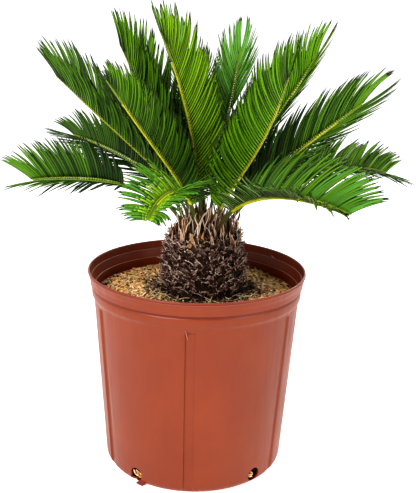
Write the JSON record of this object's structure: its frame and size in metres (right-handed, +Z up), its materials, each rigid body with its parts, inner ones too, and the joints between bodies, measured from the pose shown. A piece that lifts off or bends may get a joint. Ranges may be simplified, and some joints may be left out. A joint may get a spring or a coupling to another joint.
{
  "type": "potted sago palm",
  "caption": "Young sago palm with a squat scaly trunk and a crown of stiff feather-leaved fronds, growing in a round tapered nursery pot with a banded rim, shallow flutes and drain holes.",
  "frame": {"origin": "centre of the pot's flat underside, on the floor", "axes": "+Z up through the pot; -Y towards the front, where the low front frond is; +X to the right seen from the front"},
  "size_m": [0.4657, 0.5034, 0.552],
  "materials": {
    "pot_plastic": "moulded terracotta-coloured polypropylene with a soft sheen",
    "potting_mix": "loose dry rice hulls over dark potting mix",
    "caudex": "rough dark brown scales of old leaf bases",
    "foliage": "stiff glossy green leaflets on yellow-green ribs"
  },
  "bodies": {
    "root": {"pot": "pot_plastic", "soil": "potting_mix", "trunk": "caudex", "stalk_left_low": "foliage", "frond_left_low": "foliage", "stalk_front_low": "foliage", "frond_front_low": "foliage", "stalk_left_back": "foliage", "frond_left_back": "foliage", "frond_left_mid": "foliage", "frond_left_high": "foliage", "frond_left_top": "foliage", "frond_top": "foliage", "frond_back_left": "foliage", "frond_back_high": "foliage", "frond_right_high": "foliage", "frond_right_top": "foliage", "frond_right_mid": "foliage", "stalk_right_back": "foliage", "frond_right_back": "foliage", "stalk_right_low": "foliage", "frond_right_low": "foliage", "stalk_rear_low": "foliage", "frond_rear_low": "foliage", "stalk_rear_right_low": "foliage", "frond_rear_right_low": "foliage", "stalk_rear_left_low": "foliage", "frond_rear_left_low": "foliage", "frond_rear_right_mid": "foliage", "frond_rear_left_mid": "foliage", "frond_rear_mid": "foliage"}
  },
  "joints": []
}
